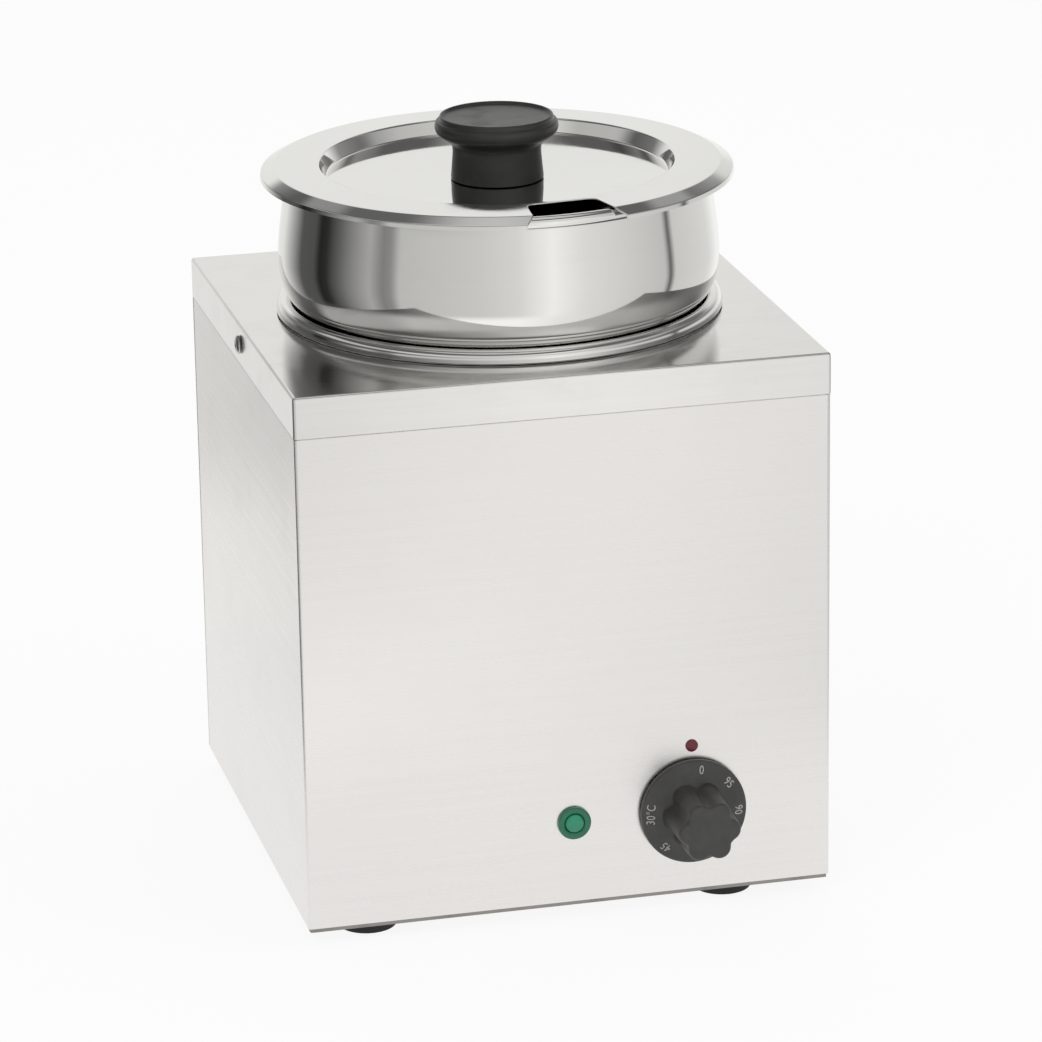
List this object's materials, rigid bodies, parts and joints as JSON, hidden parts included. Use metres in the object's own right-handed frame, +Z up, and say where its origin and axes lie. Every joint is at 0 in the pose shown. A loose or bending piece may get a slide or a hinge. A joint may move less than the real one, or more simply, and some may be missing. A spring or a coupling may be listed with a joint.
{
  "type": "bain marie",
  "caption": "Countertop wet-well food warmer: square steel casing, round well with a hanging lidded pot, front dial and lamp.",
  "frame": {"origin": "on the surface that the feet stand on, below the middle of the whole outline", "axes": "+Z up, the control panel faces -Y, +X to the right as seen from the front"},
  "size_m": [0.275, 0.3256, 0.3842],
  "materials": {
    "polished_steel": "polished stainless steel",
    "brushed_steel": "brushed stainless steel",
    "plated_steel": "bright zinc plating",
    "black_plastic": "satin black phenolic",
    "white_plastic": "plain off-white",
    "green_plastic": "glossy green",
    "red_plastic": "glossy dark red",
    "black_rubber": "matt black",
    "glass_wool": "loose fibre",
    "copper": "bright copper",
    "brass": "plain brass",
    "red_wire": "silicone sleeve",
    "blue_wire": "silicone sleeve"
  },
  "bodies": {
    "casing": {"top_cover": "polished_steel", "well_tank": "polished_steel", "housing_shell": "brushed_steel", "rear_panel": "brushed_steel", "base_plate": "plated_steel", "cover_screw_left": "plated_steel", "cover_screw_right": "plated_steel", "rear_screw_low_left": "plated_steel", "rear_screw_low_right": "plated_steel", "rear_screw_high_left": "plated_steel", "rear_screw_high_right": "plated_steel", "foot_screw_front_left": "plated_steel", "foot_screw_front_right": "plated_steel", "foot_screw_rear_left": "plated_steel", "foot_screw_rear_right": "plated_steel", "jacket_strap": "plated_steel", "heater_element": "plated_steel", "heater_clamp": "plated_steel", "clamp_stud": "plated_steel", "clamp_nut": "plated_steel", "bulb_clip": "plated_steel", "thermostat_screw_left": "plated_steel", "thermostat_screw_right": "plated_steel", "lamp_clip": "plated_steel", "terminal_screw_left": "plated_steel", "terminal_screw_right": "plated_steel", "overheat_cutout": "black_plastic", "cable_gland": "black_plastic", "gland_cap": "black_plastic", "gland_nut": "black_plastic", "thermostat_body": "white_plastic", "lamp_body": "white_plastic", "terminal_block": "white_plastic", "lamp_bezel": "green_plastic", "lamp_lens": "green_plastic", "index_plug": "red_plastic", "foot_front_left": "black_rubber", "foot_front_right": "black_rubber", "foot_rear_left": "black_rubber", "foot_rear_right": "black_rubber", "well_seal": "black_rubber", "insulation_jacket": "glass_wool", "sensor_bulb": "copper", "capillary_tube": "copper", "earth_stud": "brass", "earth_nut": "brass", "wire_supply_thermostat": "red_wire", "wire_thermostat_heater": "red_wire", "wire_supply_cutout": "blue_wire", "wire_cutout_heater": "blue_wire", "wire_supply_lamp": "blue_wire"},
    "pot": {"pot": "polished_steel"},
    "lid": {"lid": "polished_steel", "lid_knob": "black_plastic", "knob_insert": "brass", "knob_screw": "plated_steel", "knob_washer": "plated_steel"},
    "dial": {"dial_knob": "black_plastic", "dial_spindle": "brass"}
  },
  "joints": [
    {"name": "pot_lift", "type": "slide", "parent": "casing", "child": "pot", "axis": [0, 0, 1], "range_m": [0, 0.15]},
    {"name": "lid_lift", "type": "slide", "parent": "pot", "child": "lid", "axis": [0, 0, 1], "range_m": [0, 0.1]},
    {"name": "dial_turn", "type": "hinge", "parent": "casing", "child": "dial", "pos_m": [0.0627, -0.1288, 0.0529], "axis": [0, 1, 0], "range_deg": [-9, 309]}
  ]
}
